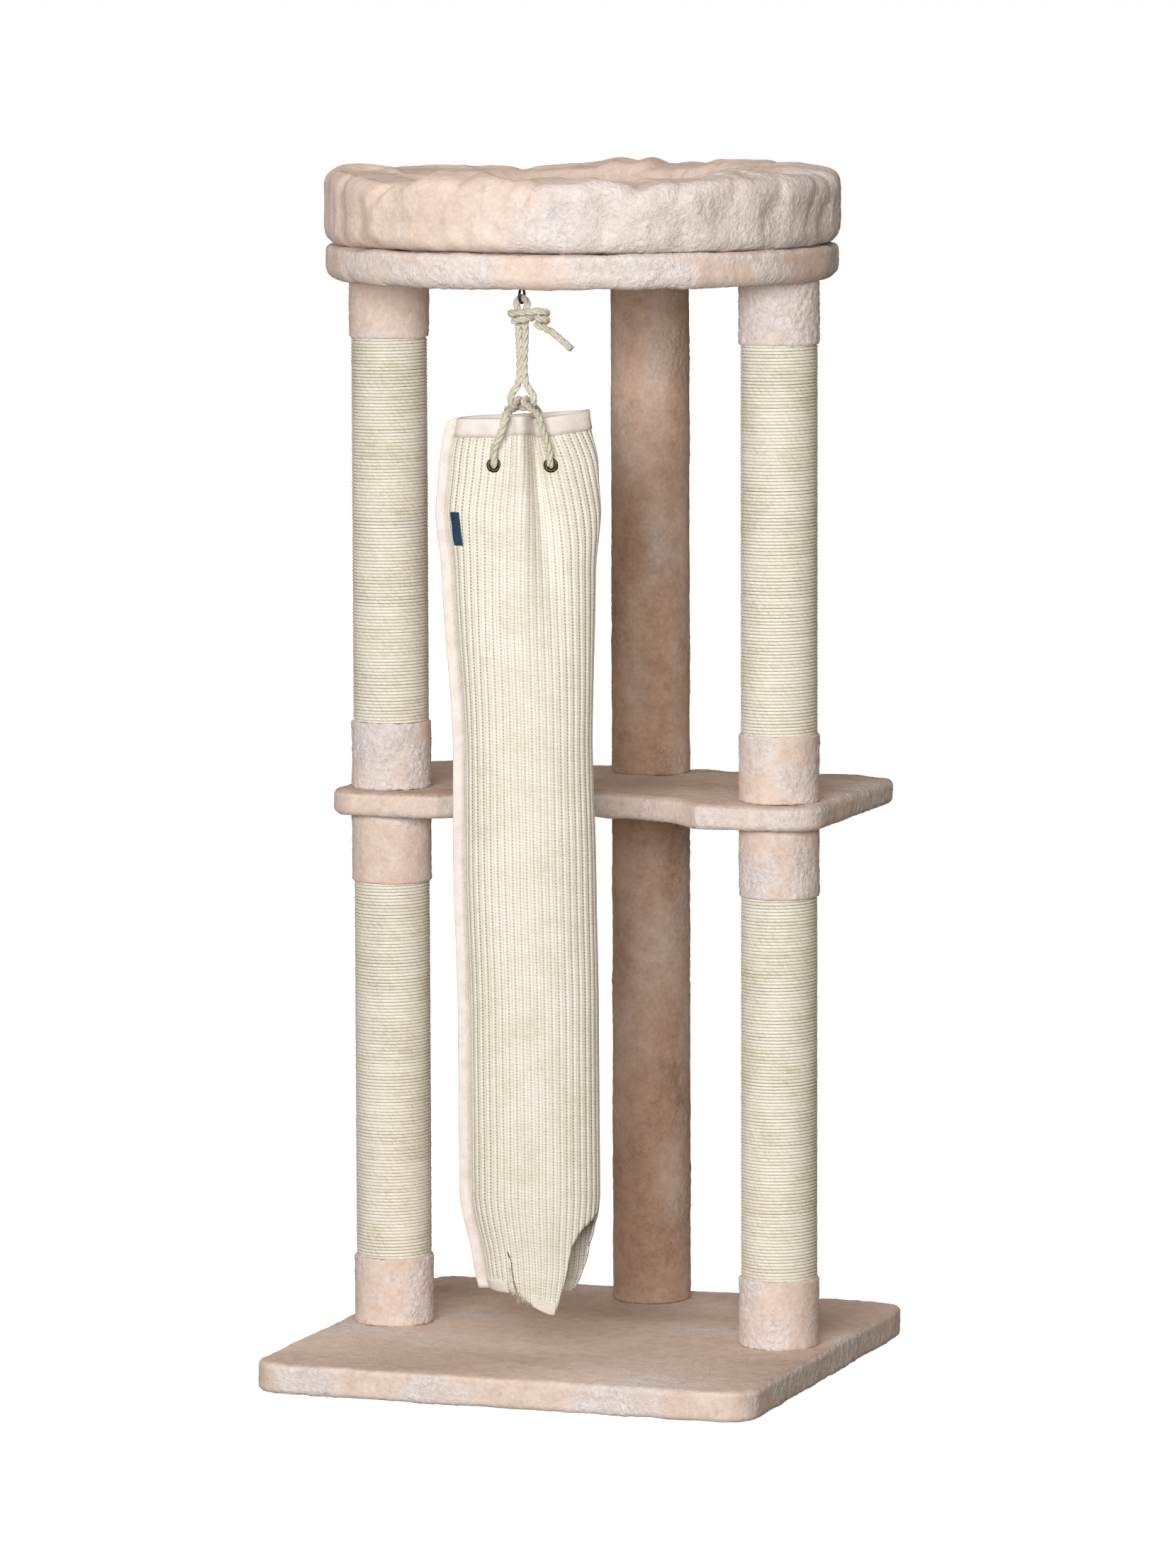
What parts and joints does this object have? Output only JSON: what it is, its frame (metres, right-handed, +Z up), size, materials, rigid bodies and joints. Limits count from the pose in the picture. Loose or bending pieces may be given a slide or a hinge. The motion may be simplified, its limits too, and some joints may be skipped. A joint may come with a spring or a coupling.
{
  "type": "cat tree with hanging scratching sleeve",
  "caption": "Tall plush cat tree: square base, sisal-wound posts, shelf with a hollow front edge, round perch with a raised rim bed and a scratching sleeve of ribbed cloth hung on a rope.",
  "frame": {"origin": "on the floor under the middle of the square base", "axes": "+Z up, -Y towards the front where the sleeve hangs, +X to the right as seen from the front"},
  "size_m": [0.61, 0.61, 1.4147],
  "materials": {
    "board": "raw fibreboard",
    "plush": "short soft pile, pale pinkish beige",
    "cardboard": "raw paper tube with plugged ends",
    "sisal": "wound sisal rope, greenish cream",
    "rope": "twisted sisal rope",
    "ribbed_cloth": "cream ribbed weave",
    "binding_tape": "smooth folded tape, pale beige",
    "bronze": "antique bronze",
    "steel": "zinc-plated",
    "dark_steel": "dark plated wire",
    "blue_tape": "blank woven tab, dark blue"
  },
  "bodies": {
    "stand": {"base_board": "board", "base_cover": "plush", "base_bolt_left": "steel", "base_bolt_right": "steel", "base_bolt_back": "steel", "base_washer_left": "steel", "base_washer_right": "steel", "base_washer_back": "steel", "lower_left_tube": "cardboard", "lower_left_low_collar": "plush", "lower_left_high_collar": "plush", "lower_left_sisal": "sisal", "lower_right_tube": "cardboard", "lower_right_low_collar": "plush", "lower_right_high_collar": "plush", "lower_right_sisal": "sisal", "lower_back_tube": "cardboard", "lower_back_plush_sleeve": "plush", "upper_left_tube": "cardboard", "upper_left_low_collar": "plush", "upper_left_high_collar": "plush", "upper_left_sisal": "sisal", "upper_right_tube": "cardboard", "upper_right_low_collar": "plush", "upper_right_high_collar": "plush", "upper_right_sisal": "sisal", "upper_back_tube": "cardboard", "upper_back_plush_sleeve": "plush", "shelf_stud_left": "steel", "shelf_stud_right": "steel", "shelf_stud_back": "steel", "shelf_board": "board", "shelf_cover": "plush", "perch_board": "board", "perch_cover": "plush", "perch_bolt_left": "steel", "perch_bolt_right": "steel", "perch_bolt_back": "steel", "perch_washer_left": "steel", "perch_washer_right": "steel", "perch_washer_back": "steel", "screw_eye": "dark_steel"},
    "bed": {"bed_bolster": "plush", "bed_cushion": "plush"},
    "rope_loop": {"rope_eye_loop": "rope", "rope_lashing": "rope"},
    "rope_fall": {"rope_strands": "rope"},
    "sleeve": {"rope_bridle_left": "rope", "rope_bridle_right": "rope", "sleeve_cloth": "ribbed_cloth", "sleeve_binding": "binding_tape", "eyelet_front_left": "bronze", "eyelet_front_right": "bronze", "eyelet_back_left": "bronze", "eyelet_back_right": "bronze", "blank_tab": "blue_tape"}
  },
  "joints": [
    {"name": "bed_lift", "type": "slide", "parent": "stand", "child": "bed", "axis": [0, 0, 1], "range_m": [0, 0.15]},
    {"name": "rope_sway", "type": "hinge", "parent": "stand", "child": "rope_loop", "pos_m": [0, -0.205, 1.2612], "axis": [0, 1, 0], "range_deg": [-20, 20]},
    {"name": "rope_twist", "type": "hinge", "parent": "rope_loop", "child": "rope_fall", "pos_m": [0, -0.205, 1.23685], "axis": [0, 0, 1], "range_deg": [-25, 25]},
    {"name": "sleeve_swing", "type": "hinge", "parent": "rope_fall", "child": "sleeve", "pos_m": [0, -0.205, 1.143], "axis": [1, 0, 0], "range_deg": [-30, 4]}
  ]
}
